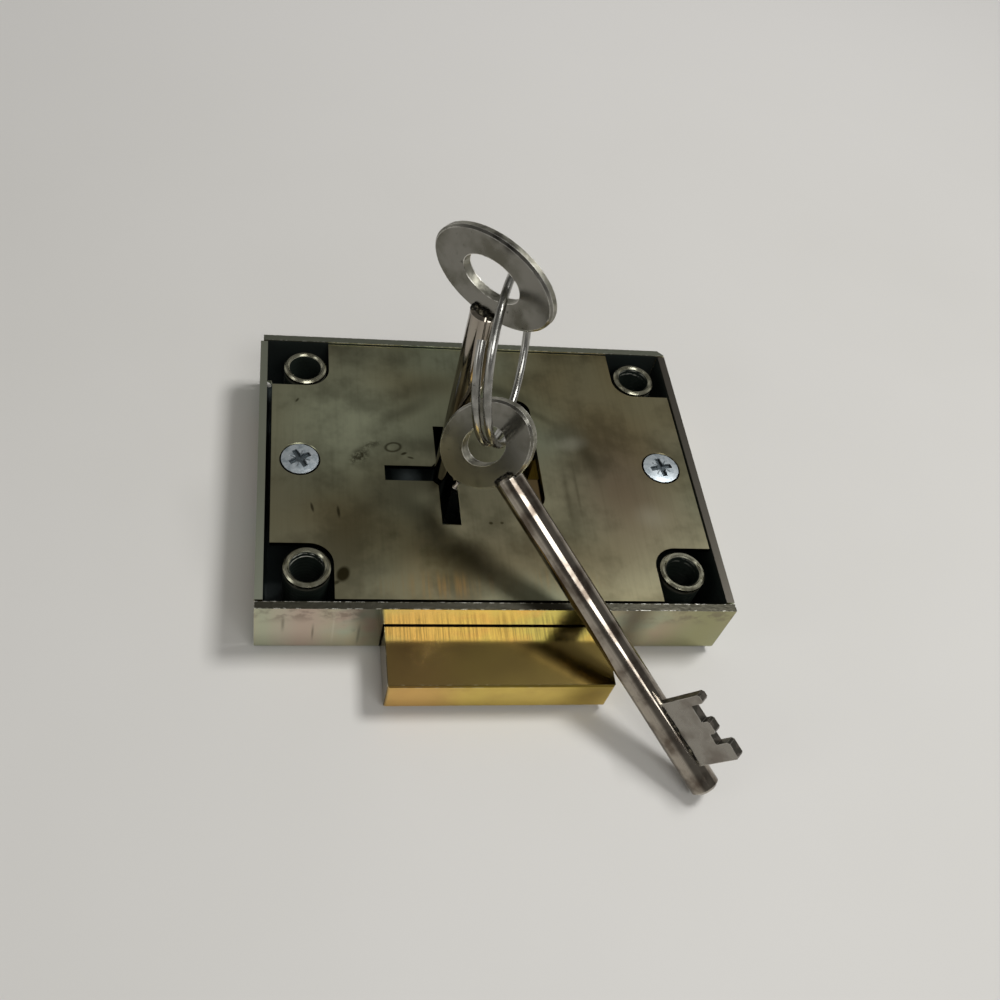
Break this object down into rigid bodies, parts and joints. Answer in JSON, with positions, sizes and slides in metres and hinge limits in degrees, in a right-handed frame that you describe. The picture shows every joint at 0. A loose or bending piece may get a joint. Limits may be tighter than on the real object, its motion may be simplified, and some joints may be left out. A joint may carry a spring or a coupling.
{
  "type": "safe lock",
  "caption": "Surface-mounted lever safe lock with its bolt thrown, one key in the keyhole and a second key on the same wire ring.",
  "frame": {"origin": "centre of the case's back face, which lies against the door", "axes": "+Z out of the door through the cap, -Y the way the bolt is thrown, +X across the lock from the keyhole to the stump window"},
  "size_m": [0.09, 0.099, 0.0742],
  "materials": {
    "yellow_zinc": "yellow-passivated zinc, satin",
    "tarnished_zinc": "tarnished passivated zinc, satin",
    "brass": "brushed",
    "dull_brass": "dull",
    "steel": "turned",
    "post_steel": "turned, passivated",
    "bright_zinc": "bright zinc",
    "lever_brass": "stamped",
    "spring_steel": "blued strip",
    "nickel": "nickel plate, polished, worn",
    "wire": "drawn wire, plated"
  },
  "bodies": {
    "case": {"case_tray": "yellow_zinc", "cap_plate": "tarnished_zinc", "fixing_post_back_left": "post_steel", "fixing_post_back_right": "post_steel", "fixing_post_front_left": "post_steel", "fixing_post_front_right": "post_steel", "cap_screw_left": "bright_zinc", "cap_screw_right": "bright_zinc", "screw_pillar_left": "steel", "screw_pillar_right": "steel", "lever_pivot_post": "steel", "lever_spacer": "steel", "bolt_guide_stud": "steel", "spring_stop_post": "steel"},
    "bolt": {"bolt": "brass", "bolt_stump": "dull_brass"},
    "key_1": {"key_1_shank": "nickel", "key_1_bow": "nickel", "key_1_bit": "nickel"},
    "ring": {"key_ring": "wire"},
    "key_2": {"key_2_shank": "nickel", "key_2_bow": "nickel", "key_2_bit": "nickel"},
    "lever_1": {"lever_1": "lever_brass", "lever_spring_1": "spring_steel"},
    "lever_2": {"lever_2": "lever_brass", "lever_spring_2": "spring_steel"},
    "lever_3": {"lever_3": "lever_brass", "lever_spring_3": "spring_steel"},
    "lever_4": {"lever_4": "lever_brass", "lever_spring_4": "spring_steel"},
    "lever_5": {"lever_5": "lever_brass", "lever_spring_5": "spring_steel"},
    "lever_6": {"lever_6": "lever_brass", "lever_spring_6": "spring_steel"},
    "lever_7": {"lever_7": "lever_brass", "lever_spring_7": "spring_steel"}
  },
  "joints": [
    {"name": "key_turn", "type": "hinge", "parent": "case", "child": "key_1", "pos_m": [-0.0077, -0.00245, 0.0149], "axis": [0, 0, 1], "range_deg": [0, 90]},
    {"name": "bolt_slide", "type": "slide", "parent": "case", "child": "bolt", "axis": [0, 1, 0], "range_m": [0, 0.0125]},
    {"name": "ring_swing", "type": "hinge", "parent": "key_1", "child": "ring", "pos_m": [-0.00605, -0.00406, 0.06555], "axis": [-0.3538, -0.9269, -0.1254], "range_deg": [0, 13.5]},
    {"name": "key_2_swing", "type": "hinge", "parent": "ring", "child": "key_2", "pos_m": [-0.0031, -0.01282, 0.03759], "axis": [-0.4259, -0.713, 0.557], "range_deg": [0, 45]},
    {"name": "lever_1_lift", "type": "hinge", "parent": "case", "child": "lever_1", "pos_m": [0.012, 0.0255, 0.0075], "axis": [0, 0, 1], "range_deg": [0, 1.5], "stiffness_Nm_per_rad": 0.02},
    {"name": "lever_2_lift", "type": "hinge", "parent": "case", "child": "lever_2", "pos_m": [0.012, 0.0255, 0.0075], "axis": [0, 0, 1], "range_deg": [0, 1.5], "stiffness_Nm_per_rad": 0.02},
    {"name": "lever_3_lift", "type": "hinge", "parent": "case", "child": "lever_3", "pos_m": [0.012, 0.0255, 0.0075], "axis": [0, 0, 1], "range_deg": [0, 1.5], "stiffness_Nm_per_rad": 0.02},
    {"name": "lever_4_lift", "type": "hinge", "parent": "case", "child": "lever_4", "pos_m": [0.012, 0.0255, 0.0075], "axis": [0, 0, 1], "range_deg": [0, 1.5], "stiffness_Nm_per_rad": 0.02},
    {"name": "lever_5_lift", "type": "hinge", "parent": "case", "child": "lever_5", "pos_m": [0.012, 0.0255, 0.0075], "axis": [0, 0, 1], "range_deg": [0, 1.5], "stiffness_Nm_per_rad": 0.02},
    {"name": "lever_6_lift", "type": "hinge", "parent": "case", "child": "lever_6", "pos_m": [0.012, 0.0255, 0.0075], "axis": [0, 0, 1], "range_deg": [0, 1.5], "stiffness_Nm_per_rad": 0.02},
    {"name": "lever_7_lift", "type": "hinge", "parent": "case", "child": "lever_7", "pos_m": [0.012, 0.0255, 0.0075], "axis": [0, 0, 1], "range_deg": [0, 1.5], "stiffness_Nm_per_rad": 0.02}
  ],
  "couplings": [
    {"joint": "key_turn", "follows": "bolt_slide", "rad_per_m": 125.66},
    {"joint": "ring_swing", "follows": "bolt_slide", "rad_per_m": 18.849},
    {"joint": "key_2_swing", "follows": "bolt_slide", "rad_per_m": 62.83}
  ]
}
